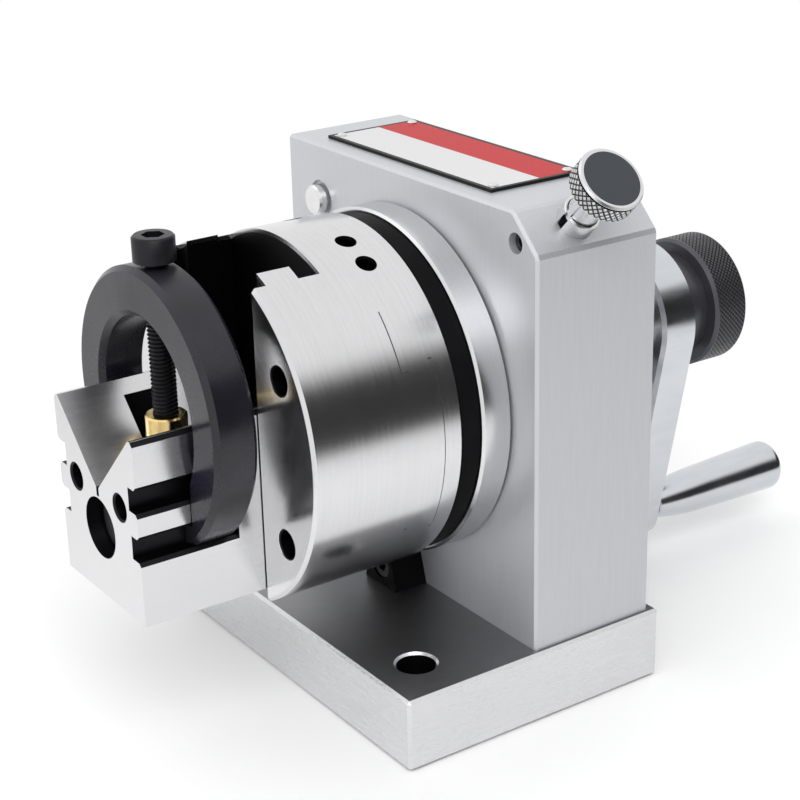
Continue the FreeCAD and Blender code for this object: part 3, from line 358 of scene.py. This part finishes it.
@dataclass(frozen=True)
class GroundBlock(GroundSteel):
    """The V-block's steel: bright on its ground faces and black in its slots, window, holes and edges."""

    half: float = 0.0198
    front: float = -0.0869
    top: float = 0.0848
    bottom: float = 0.0396
    vee_drop: float = 0.0082
    skin: float = 0.00005

    def recess(self, graph: Graph) -> Signal:
        """Give 1 off the ground faces."""
        across, deep, up = graph.split(graph.place)
        outer = across.size().over(self.half - self.skin).either(deep.under(self.front + self.skin))
        level = up.over(self.top - self.skin).either(up.under(self.bottom + self.skin))
        flank = (across.size() - up).near(self.vee_drop - AXIS_HEIGHT, self.skin)
        return 1.0 - outer.either(level).either(flank)


@dataclass(frozen=True)
class GroundBase(GroundSteel):
    """The base's steel: bright sides, painted shade darkening the top face, and two black bolt holes."""

    spread: float = 0.0396
    front: float = -0.0263
    radius: float = 0.0050
    span: tuple[float, float] = (0.0006, 0.0181)
    top: float = 0.01865
    top_painted_shade: float = 0.6

    def recess(self, graph: Graph) -> Signal:
        """Give 1 in the bolt holes and a part of it on the top face as painted shade."""
        across, deep, up = graph.split(graph.place)
        beside, before = across.size() - self.spread, deep - self.front
        holes = (beside * beside + before * before).under(self.radius ** 2) * up.within(*self.span)
        # The top face is pulled part way to the oxide black: painted shade, not a finish of the steel.
        return holes.either(up.over(self.top) * self.top_painted_shade)


@dataclass(frozen=True)
class Scribed:
    """Where the drum's scribed hair lines and its black recesses lie, in metres and in degrees below +X."""

    rim: float = 0.0425
    tone: Colour = (0.02, 0.02, 0.02)
    strength: float = 0.85
    roughness: float = 0.3
    first: float = -0.0286
    first_hair: float = 0.00016
    first_arc: tuple[float, float] = (-44.8, -24.8)
    tick: float = -24.9
    tick_width: float = 0.35
    tick_run: tuple[float, float] = (-0.0287, -0.0268)
    second: float = -0.0197
    second_hair: float = 0.000112
    second_arc: tuple[float, float] = (-26.4, 29.2)
    dots: tuple[tuple[float, float, float], ...] = (
        (-0.0203, -27.3, 0.00050), (-0.0203, 30.6, 0.00030), (-0.0278, 28.5, 0.00035))
    dot_width: float = 0.28
    recess_radius: float = 0.0428
    recess_run: tuple[float, float] = (-0.0549, -0.0145)

    def lines(self, radius: Signal, angle: Signal, along: Signal) -> Signal:
        """Give 1 on the hair lines and their small dots.

        Args:
            radius: Distance from the spindle axis.
            angle: Angle about it, in turns.
            along: Place along it.

        Returns:
            The mask.
        """
        turn = angle * 360.0
        marks = along.near(self.first, self.first_hair) * turn.within(*self.first_arc)
        marks = marks + turn.near(self.tick, self.tick_width) * along.within(*self.tick_run)
        marks = marks + along.near(self.second, self.second_hair) * turn.within(*self.second_arc)
        for place, level, width in self.dots:
            marks = marks + along.near(place, width) * turn.near(level, self.dot_width)
        return radius.over(self.rim) * marks.least(1.0)

    def recess(self, radius: Signal, along: Signal) -> Signal:
        """Give 1 in the channel and the holes."""
        return radius.under(self.recess_radius) * along.within(*self.recess_run)


@dataclass(frozen=True)
class TurnedSteel:
    """Bright steel from a lathe: fine lines round the spindle axis, with scribed marks where asked."""

    name: str
    base: Colour = (0.71, 0.71, 0.72)
    shades: tuple[float, float] = (0.93, 1.05)
    roughness: float = 0.20
    streak: float = 0.03
    recess_roughness: float = 0.2
    fine_scale: float = 9000.0
    broad_scale: float = 1300.0
    cloud_scale: float = 24.0
    turn_length: float = 0.006
    depth: float = 0.0000012
    scribed: Optional[Scribed] = None

    def build(self) -> bpy.types.Material:
        """Make the material."""
        graph = Graph(self.name)
        radius, angle, along = graph.polar(SPINDLE, Y_TO_Z)
        where = graph.join(radius, along, angle * self.turn_length)
        lines = graph.noise(where, self.fine_scale, 2.0)
        broad = graph.noise(where, self.broad_scale, 2.0)
        cloud = graph.noise(graph.place, self.cloud_scale, 3.0)
        tone = lines * 0.4 + broad * 0.3 + cloud * 0.3
        colour = graph.tint(tone, self.base, *self.shades)
        roughness = graph.vary(tone, self.roughness, self.streak / 2, self.streak / 2)
        if self.scribed:
            scratch = self.scribed.lines(radius, angle, along)
            pit = self.scribed.recess(radius, along)
            colour = graph.blend(pit, colour, OXIDE_AND_SHADE_BLACK)
            colour = graph.blend(scratch * self.scribed.strength, colour, self.scribed.tone)
            roughness = roughness + scratch * self.scribed.roughness + pit * self.recess_roughness
        return graph.finish(Base_Color=colour, Metallic=1.0, Roughness=roughness,
                            Normal=graph.bump(lines, self.depth))


@dataclass(frozen=True)
class Satin:
    """Light satin metal with a very fine even grain."""

    name: str
    base: Colour = (0.575, 0.585, 0.615)
    shades: tuple[float, float] = (0.96, 1.04)
    roughness: float = 0.42
    streak: float = 0.08
    metallic: float = 0.55
    grit_scale: float = 7000.0
    cloud_scale: float = 30.0
    rubbed_scale: float = 1500.0
    depth: float = 0.000002

    def build(self) -> bpy.types.Material:
        """Make the material."""
        graph = Graph(self.name)
        grit = graph.noise(graph.place, self.grit_scale, 2.0)
        cloud = graph.noise(graph.place, self.cloud_scale, 4.0)
        rubbed = graph.noise(graph.mapped(Grain.ALONG_Z.value), self.rubbed_scale, 2.0)
        tone = grit * 0.3 + cloud * 0.3 + rubbed * 0.4
        return graph.finish(Base_Color=graph.tint(tone, self.base, *self.shades), Metallic=self.metallic,
                            Roughness=graph.vary(tone, self.roughness, self.streak / 2, self.streak / 2),
                            Normal=graph.bump(grit, self.depth))


@dataclass(frozen=True)
class BlackOxide:
    """Blued black steel with an uneven oil sheen, a little more violet where the film is thin."""

    name: str
    base: Colour = (0.011, 0.011, 0.015)
    thinning: Colour = (2.0, 1.8, 2.2)
    thin_span: tuple[float, float] = (0.35, 0.75)
    thin_share: float = 0.8
    roughness: float = 0.27
    sheen: float = 0.16
    sheen_span: tuple[float, float] = (0.35, 0.65)
    specular: float = 0.45
    stretch: tuple[float, float, float] = (1.0, 1.0, 0.5)
    cloud_scale: float = 70.0
    broad_scale: float = 45.0
    grit_scale: float = 3800.0
    depth: float = 0.000004

    def build(self) -> bpy.types.Material:
        """Make the material."""
        graph = Graph(self.name)
        cloud = graph.noise(graph.place, self.cloud_scale, 4.0)
        broad = graph.noise(graph.mapped(self.stretch), self.broad_scale, 3.0)
        grit = graph.noise(graph.place, self.grit_scale, 2.0)
        thin = tuple(part * factor for part, factor in zip(self.base, self.thinning))
        worn = graph.ramp(cloud, *self.thin_span, 0.0, self.thin_share)
        roughness = graph.ramp(broad * 0.7 + grit * 0.3, *self.sheen_span,
                               self.roughness - self.sheen / 2, self.roughness + self.sheen)
        return graph.finish(Base_Color=graph.blend(worn, self.base, thin), Specular_IOR_Level=self.specular,
                            Roughness=roughness, Normal=graph.bump(grit, self.depth))


@dataclass(frozen=True)
class Polished:
    """Polished bright metal with faint buffing marks, and gentle waves where a hand polished it."""

    name: str
    base: Colour = (0.62, 0.64, 0.67)
    shades: tuple[float, float] = (0.95, 1.04)
    roughness: float = 0.13
    dulling: tuple[float, float] = (0.02, 0.05)
    stretch: tuple[float, float, float] = (1.0, 0.25, 1.0)
    buff_scale: float = 380.0
    buff_depth: float = 0.000003
    cloud_scale: float = 60.0
    wave_scale: float = 120.0
    wave: float = 0.0

    def build(self) -> bpy.types.Material:
        """Make the material."""
        graph = Graph(self.name)
        buff = graph.noise(graph.mapped(self.stretch), self.buff_scale, 4.0)
        cloud = graph.noise(graph.place, self.cloud_scale, 3.0)
        tone = buff * 0.6 + cloud * 0.4
        normal = graph.bump(buff, self.buff_depth)
        if self.wave:
            swell = graph.noise(graph.mapped(self.stretch), self.wave_scale, 1.0)
            normal = graph.bump(swell, self.wave, normal)
        return graph.finish(Base_Color=graph.tint(tone, self.base, *self.shades), Metallic=1.0,
                            Roughness=graph.vary(tone, self.roughness, *self.dulling), Normal=normal)


@dataclass(frozen=True)
class Brass:
    """Turned brass or bronze with fine rings about an upright axis and a slightly dulled tone."""

    name: str
    base: Colour = (0.84, 0.63, 0.28)
    centre: tuple[float, float] = (0.0, -0.0680)
    dulling: float = 0.72
    dull_span: tuple[float, float] = (0.45, 0.75)
    dull_share: float = 0.5
    roughness: tuple[float, float] = (0.14, 0.26)
    turn_length: float = 0.002
    ring_scale: float = 5200.0
    cloud_scale: float = 260.0
    depth: float = 0.000003

    def build(self) -> bpy.types.Material:
        """Make the material."""
        graph = Graph(self.name)
        radius, angle, along = graph.polar(Vector((*self.centre, 0.0)), Matrix.Identity(3))
        rings = graph.noise(graph.join(radius, along, angle * self.turn_length), self.ring_scale, 2.0)
        cloud = graph.noise(graph.place, self.cloud_scale, 3.0)
        dull = tuple(part * self.dulling for part in self.base)
        worn = graph.ramp(cloud, *self.dull_span, 0.0, self.dull_share)
        return graph.finish(Base_Color=graph.blend(worn, self.base, dull), Metallic=1.0,
                            Roughness=graph.ramp(rings * 0.7 + cloud * 0.3, *TONE_SPAN, *self.roughness),
                            Normal=graph.bump(rings, self.depth))


@dataclass(frozen=True)
class Knurled:
    """A turned part whose rim has a diamond knurl between two heights on its axis, with painted shade in its
    valleys and groove.
    """

    name: str
    foot: Vector
    turn: Matrix
    rim: float
    band: tuple[float, float]
    around: int
    rows: float
    base: Colour
    metallic: float
    roughness: float
    depth: float
    groove: Optional[tuple[float, float]] = None
    groove_shade_tone: Colour = (0.01, 0.01, 0.01)
    groove_reach: float = 0.0004
    groove_shade_share: float = 0.9
    flank: tuple[float, float] = (0.12, 0.50)
    valley_shade_share: float = 0.06
    worn_share: float = 0.85
    turn_length: float = 0.002
    ring_scale: float = 4200.0

    def build(self) -> bpy.types.Material:
        """Make the material."""
        graph = Graph(self.name)
        radius, angle, along = graph.polar(self.foot, self.turn)
        low, high = self.band
        turned, climb = angle * float(self.around), along * (self.rows / (high - low))
        diamonds = (turned + climb).zigzag().least((turned - climb).zigzag())
        mask = radius.over(self.rim) * along.within(low, high)
        raised = graph.ramp(diamonds, *self.flank, 0.0, 1.0)
        rings = graph.noise(graph.join(radius, along, angle * self.turn_length), self.ring_scale, 2.0)
        valley_shade_tone = tuple(part * self.valley_shade_share for part in self.base)
        worn = tuple(part * self.worn_share for part in self.base)
        # Painted shade: the knurl's valleys are darkened to a small share of the base colour.
        shade = mask * (1.0 - raised)
        colour = graph.blend(shade, graph.blend(rings * 0.4, self.base, worn), valley_shade_tone)
        if self.groove:
            # Painted shade: the groove's band is darkened nearly to black.
            dark = along.within(*self.groove) * radius.over(self.rim - self.groove_reach)
            colour = graph.blend(dark * self.groove_shade_share, colour, self.groove_shade_tone)
        height = mask * raised + (1.0 - mask) * (rings * 0.02 + 1.0)
        return graph.finish(Base_Color=colour, Metallic=self.metallic,
                            Roughness=self.roughness + rings * 0.08 + shade * 0.25,
                            Normal=graph.bump(height, self.depth))


@dataclass(frozen=True)
class PrintedPlate:
    """The plate's print: black border, white field and a red band along the back."""

    name: str
    left: float = -0.0415
    right: float = 0.0285
    front: float = 0.0055
    back: float = 0.0330
    border: float = 0.0011
    split: float = 0.0207
    black: Colour = (0.012, 0.012, 0.012)
    white: tuple[Colour, Colour] = ((0.66, 0.66, 0.66), (0.58, 0.58, 0.59))
    red: tuple[Colour, Colour] = ((0.50, 0.009, 0.013), (0.40, 0.007, 0.011))
    roughness: float = 0.34
    specular: float = 0.12
    scuff_scale: float = 900.0
    depth: float = 0.00002

    def build(self) -> bpy.types.Material:
        """Make the material."""
        graph = Graph(self.name)
        across, deep, _ = graph.split(graph.place)
        inside = (across.within(self.left + self.border, self.right - self.border)
                  * deep.within(self.front + self.border, self.back - self.border))
        scuff = graph.noise(graph.place, self.scuff_scale, 3.0)
        field = graph.blend(inside, self.black, graph.blend(scuff * 0.25, *self.white))
        colour = graph.blend(deep.over(self.split) * inside, field, graph.blend(scuff * 0.4, *self.red))
        return graph.finish(Base_Color=colour, Metallic=0.0, Roughness=self.roughness + scuff * 0.10,
                            Specular_IOR_Level=self.specular,
                            Normal=graph.bump(inside * 0.6 + scuff * 0.1, self.depth))


@dataclass(frozen=True)
class MattCap:
    """Dark grey moulded cap with a fine pebble."""

    name: str
    base: Colour = (0.040, 0.046, 0.054)
    lighter: float = 1.3
    specular: float = 0.3
    roughness: float = 0.45
    pebble_scale: float = 2600.0
    depth: float = 0.000008

    def build(self) -> bpy.types.Material:
        """Make the material."""
        graph = Graph(self.name)
        pebble = graph.noise(graph.place, self.pebble_scale, 2.0)
        light = tuple(part * self.lighter for part in self.base)
        return graph.finish(Base_Color=graph.blend(pebble, self.base, light),
                            Specular_IOR_Level=self.specular,
                            Roughness=self.roughness + pebble * 0.15,
                            Normal=graph.bump(pebble, self.depth))


class Dresser:
    """Gives the CAD nodes their materials."""

    def __init__(self) -> None:
        """Start with no node dressed."""
        self.done: set[str] = set()

    def dress(self, material: bpy.types.Material, *nodes: str) -> None:
        """Put a material on nodes.

        Args:
            material: The material.
            *nodes: The nodes' names.
        """
        for name in nodes:
            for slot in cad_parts[name].material_slots:
                slot.material = material
            self.done.add(name)
            LOG.info("dressed %s with %s", name, material.name)


@dataclass
class ClampScrew:
    """Socket head screw of the yoke with a real helical thread on its shank."""

    crest: float = 0.0030
    root: float = 0.00243
    pitch: float = 0.0010
    along: float = -0.0680
    foot: float = 0.0785
    seat: float = 0.1183
    steps: int = 28
    tooth: tuple[float, float, float, float] = (0.12, 0.44, 0.56, 0.88)
    head_overlap: float = 0.0006
    shank_overlap: float = 0.0004
    head_weld: float = 0.000002
    shank_weld: float = 0.000004
    node: str = "clamp_screw"

    @staticmethod
    def cut(mesh: bmesh.types.BMesh, level: float, above: bool) -> None:
        """Cut a mesh off at a height and close it there.

        Args:
            mesh: The mesh.
            level: The height of the cut.
            above: True keeps what is above it, and False what is below.
        """
        cut = bmesh.ops.bisect_plane(mesh, geom=mesh.verts[:] + mesh.edges[:] + mesh.faces[:],
                                     plane_co=(0.0, 0.0, level), plane_no=(0.0, 0.0, 1.0),
                                     clear_inner=above, clear_outer=not above)
        rim = [item for item in cut["geom_cut"] if isinstance(item, bmesh.types.BMEdge)]
        bmesh.ops.holes_fill(mesh, edges=rim, sides=0)

    def head(self) -> bmesh.types.BMesh:
        """Cut the head off a copy of the CAD node.

        Returns:
            The head above the seat, closed below.
        """
        mesh = bmesh.new()
        mesh.from_mesh(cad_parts[self.node].data)
        bmesh.ops.remove_doubles(mesh, verts=mesh.verts, dist=self.head_weld)
        self.cut(mesh, self.seat - self.head_overlap, True)
        return mesh

    def thread(self, mesh: bmesh.types.BMesh) -> None:
        """Add the threaded shank by sweeping one tooth of the profile up a helix.

        Args:
            mesh: The mesh that the shank joins.
        """
        middle = Vector((0.0, self.along, 0.0))
        start = self.foot - self.pitch
        rise, top, fall, end = self.tooth
        profile = [(self.root, 0.0), (self.root, rise), (self.crest, top), (self.crest, fall),
                   (self.root, end), (self.root, 1.0)]
        shank = bmesh.new()
        points = [shank.verts.new(middle + Vector((radius, 0.0, start + part * self.pitch)))
                  for radius, part in profile]
        for first, second in zip(points, points[1:]):
            shank.edges.new((first, second))
        turns = math.ceil((self.seat - start) / self.pitch) + 1
        bmesh.ops.spin(shank, geom=shank.verts[:] + shank.edges[:], cent=middle, axis=(0.0, 0.0, 1.0),
                       dvec=(0.0, 0.0, self.pitch / self.steps), angle=2.0 * math.pi * turns,
                       steps=self.steps * turns, use_duplicate=False)
        bmesh.ops.remove_doubles(shank, verts=shank.verts, dist=self.shank_weld)
        self.cut(shank, self.foot, True)
        self.cut(shank, self.seat - self.shank_overlap, False)
        bmesh.ops.recalc_face_normals(shank, faces=shank.faces[:])
        carrier = bpy.data.meshes.new("clamp_thread_part")
        shank.to_mesh(carrier)
        shank.free()
        mesh.from_mesh(carrier)
        bpy.data.meshes.remove(carrier)

    def build(self, material: bpy.types.Material) -> bpy.types.Object:
        """Make the screw in place of its CAD node.

        Args:
            material: Its finish.

        Returns:
            The finished piece.
        """
        mesh = self.head()
        self.thread(mesh)
        data = bpy.data.meshes.new("clamp_screw_threaded")
        mesh.to_mesh(data)
        mesh.free()
        data.materials.append(material)
        piece = bpy.data.objects.new("clamp_screw_threaded", data)
        bpy.context.scene.collection.objects.link(piece)
        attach(piece, "clamp_spindle")
        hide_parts(self.node)
        LOG.info("built %s with %d faces", piece.name, len(data.polygons))
        return piece


@dataclass(frozen=True)
class Lamp:
    """A soft rectangular lamp: where it stands, what it points at, its watts and its sides in metres."""

    name: str
    spot: tuple[float, float, float]
    aim: tuple[float, float, float]
    power: float
    width: float
    height: float

    def build(self) -> bpy.types.Object:
        """Hang the lamp.

        Returns:
            Its object.
        """
        data = bpy.data.lights.new(self.name, "AREA")
        data.shape = "RECTANGLE"
        data.size, data.size_y = self.width, self.height
        data.energy = self.power
        lamp = bpy.data.objects.new(self.name, data)
        bpy.context.scene.collection.objects.link(lamp)
        lamp.location = self.spot
        lamp.rotation_mode = "QUATERNION"
        lamp.rotation_quaternion = (Vector(self.aim) - Vector(self.spot)).to_track_quat("-Z", "Y")
        return lamp


@dataclass
class Studio:
    """Floor, lamps, world and the camera at the photograph's angle."""

    eye: tuple[float, float, float] = (0.36423, -0.24989, 0.24227)
    azimuth: float = 55.779
    elevation: float = 21.551
    roll: float = -1.421
    focal: float = 1869.62
    frame_side: float = 800.0
    sensor: float = 36.0
    nearest: float = 0.01
    flag_turn: float = 32.0
    flag_sides: tuple[float, float] = (0.28, 0.52)
    flag_foot: tuple[float, float] = (-0.27, -0.10)
    flag_head: tuple[float, float] = (0.38, 0.62)
    flag_tone: float = 0.03
    floor_fade: tuple[float, float] = (0.12, 0.32)
    floor_tones: tuple[Colour, Colour] = ((0.97, 0.97, 0.97), (0.95, 0.95, 0.95))
    floor_share: float = 0.3
    floor_scale: float = 3.0
    floor_roughness: float = 0.6
    floor_size: float = 4.0
    floor_drop: float = 0.0002
    lamps: tuple[Lamp, ...] = (Lamp("key", (0.72, -0.34, 0.85), (0.0, -0.02, 0.06), 5.0, 0.7, 0.6),
                               Lamp("fill", (-0.55, -0.45, 0.90), (0.0, 0.0, 0.0), 0.7, 0.8, 0.8))

    def camera(self) -> None:
        """Place the camera."""
        turn, rise, roll = (math.radians(part) for part in (self.azimuth, self.elevation, self.roll))
        back = Vector((math.sin(turn) * math.cos(rise), -math.cos(turn) * math.cos(rise), math.sin(rise)))
        right = Vector((math.cos(turn), math.sin(turn), 0.0))
        up = back.cross(right)
        tilted = right * math.cos(roll) + up * math.sin(roll)
        upright = up * math.cos(roll) - right * math.sin(roll)
        data = bpy.data.cameras.new("camera")
        data.sensor_width = self.sensor
        data.lens = self.focal / self.frame_side * self.sensor
        data.clip_start = self.nearest
        camera = bpy.data.objects.new("camera", data)
        bpy.context.scene.collection.objects.link(camera)
        place = Matrix((tilted, upright, back)).transposed().to_4x4()
        place.translation = Vector(self.eye)
        camera.matrix_world = place
        bpy.context.scene.camera = camera

    def surround(self) -> None:
        """Make the world: a white room with one dark flag, which the camera's own rays don't see."""
        world = bpy.data.worlds.new("studio")
        bpy.context.scene.world = world
        world.use_nodes = True
        nodes = Nodes(world.node_tree)
        across, deep, up = nodes.split(nodes.add("ShaderNodeTexCoord").outputs["Generated"])
        turn = math.radians(self.flag_turn)
        facing = across * math.cos(turn) + deep * math.sin(turn)
        flag = nodes.ramp(facing, *self.flag_sides, 0.0, 1.0) * nodes.ramp(up, *self.flag_foot, 0.0, 1.0)
        flag = flag * nodes.ramp(up, *self.flag_head, 1.0, 0.0)
        background = world.node_tree.nodes["Background"]
        seen = Signal(nodes, nodes.add("ShaderNodeLightPath").outputs["Is Camera Ray"])
        nodes.feed(background.inputs["Strength"], 1.0 - flag * (1.0 - seen) * (1.0 - self.flag_tone))
        background.inputs["Color"].default_value = (1.0, 1.0, 1.0, 1.0)

    def floor(self) -> None:
        """Lay the pale floor under the object, thinning out into the white room all round."""
        mesh = bmesh.new()
        bmesh.ops.create_grid(mesh, x_segments=2, y_segments=2, size=self.floor_size)
        data = bpy.data.meshes.new("floor")
        mesh.to_mesh(data)
        mesh.free()
        floor = bpy.data.objects.new("floor", data)
        floor.location = (0.0, 0.0, -self.floor_drop)
        bpy.context.scene.collection.objects.link(floor)
        graph = Graph("pale_floor")
        pale = graph.noise(graph.place, self.floor_scale, 2.0)
        across, deep, _ = graph.split(graph.place)
        reach = graph.maths("SQRT", across * across + deep * deep)
        data.materials.append(graph.finish(
            Base_Color=graph.blend(pale * self.floor_share, *self.floor_tones),
            Roughness=self.floor_roughness, Alpha=graph.ramp(reach, *self.floor_fade, 1.0, 0.0)))

    def build(self) -> None:
        """Set up the whole studio."""
        self.camera()
        self.surround()
        self.floor()
        for lamp in self.lamps:
            lamp.build()
        bpy.context.scene.view_settings.view_transform = "Standard"


class PunchFormer:
    """The whole object: its finishes on the CAD nodes and the piece that scene.py adds."""

    def steel(self, dresser: Dresser) -> None:
        """Dress the ground and turned steel."""
        dresser.dress(GroundBase("ground_base", Grain.LEVEL).build(), "base_plate")
        dresser.dress(GroundBlock("ground_block", Grain.ALONG_Y, roughness=0.24).build(), "v_block")
        dresser.dress(GroundSteel("ground_nut", Grain.ALONG_Z, roughness=0.3).build(), "t_nut")
        dresser.dress(TurnedSteel("turned_drum", scribed=Scribed()).build(), "slide_head")
        dresser.dress(TurnedSteel("turned_flange", roughness=0.22).build(),
                      "spindle", "index_disc", "bearing_nut", "clamp_washer", "thrust_washer", "rear_housing")
        dresser.dress(Satin("ground_upright").build(), "headstock")
        dresser.dress(Polished("turned_pins", base=(0.78, 0.78, 0.78), roughness=0.24).build(),
                      "dowel_pins", "stop_pin", "plunger_pin", "plunger_sleeve", "crank_key", "pad_pin",
                      "plunger_spring")

    def dark(self, dresser: Dresser) -> None:
        """Dress the blackened pieces."""
        dresser.dress(BlackOxide("black_yoke").build(), "yoke")
        dresser.dress(Polished("worn_lock_screw", base=(0.30, 0.30, 0.31), roughness=0.34).build(),
                      "lock_screw")
        dresser.dress(BlackOxide("black_screws", base=(0.010, 0.010, 0.012)).build(),
                      "lock_washer", "headstock_screws", "index_disc_screws", "housing_screws",
                      "slide_head_screws", "head_set_screws", "sleeve_set_screw", "rest_block_screw")
        ring = BlackOxide("black_ring", base=(0.003, 0.003, 0.0035), roughness=0.5, specular=0.08)
        dresser.dress(ring.build(), "spacer_ring", "rest_block")

    def trim(self, dresser: Dresser) -> None:
        """Dress the crank, knobs, plate and soft metals."""
        dresser.dress(Polished("polished_crank", roughness=0.17, wave=0.0004).build(),
                      "crank_arm", "crank_grip", "grip_screw")
        dresser.dress(Brass("turned_brass").build(), "brass_pad")
        dresser.dress(Brass("bearing_bronze", base=(0.50, 0.31, 0.14), centre=(0.0, 0.0)).build(),
                      "front_bush", "rear_bush")
        nut = Knurled("knurled_nut", SPINDLE, Y_TO_Z, rim=0.0175, band=(0.0912, 0.1004), around=84,
                      rows=7.0, base=(0.085, 0.085, 0.095), metallic=0.6, roughness=0.28, depth=0.00012)
        dresser.dress(nut.build(), "clamp_nut")
        knob = Knurled("knurled_knob", PLUNGER_FOOT, PLUNGER_TO_Z, rim=0.0077, band=(0.0803, 0.0845),
                       around=34, rows=2.4, base=(0.74, 0.74, 0.75), metallic=1.0, roughness=0.22,
                       depth=0.0003, groove=(0.0845, 0.0850))
        dresser.dress(knob.build(), "plunger_knob")
        dresser.dress(MattCap("moulded_cap").build(), "plunger_cap")
        dresser.dress(PrintedPlate("printed_plate").build(), "nameplate")
        dresser.dress(Polished("bare_rivets", base=(0.72, 0.72, 0.73), roughness=0.2).build(),
                      "nameplate_rivets")

    def build(self) -> None:
        """Dress every node and add the new pieces."""
        dresser = Dresser()
        self.steel(dresser)
        self.dark(dresser)
        self.trim(dresser)
        ClampScrew().build(BlackOxide("black_clamp_screw", base=(0.006, 0.006, 0.007), specular=0.25).build())
        left = sorted(set(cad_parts) - dresser.done - {"clamp_screw"})
        LOG.info("nodes left undressed: %s", left)


def main() -> None:
    """Build the object and its studio."""
    logging.basicConfig(level=logging.INFO, format="%(name)s: %(message)s")
    PunchFormer().build()
    Studio().build()


if __name__ == "__main__":
    main()
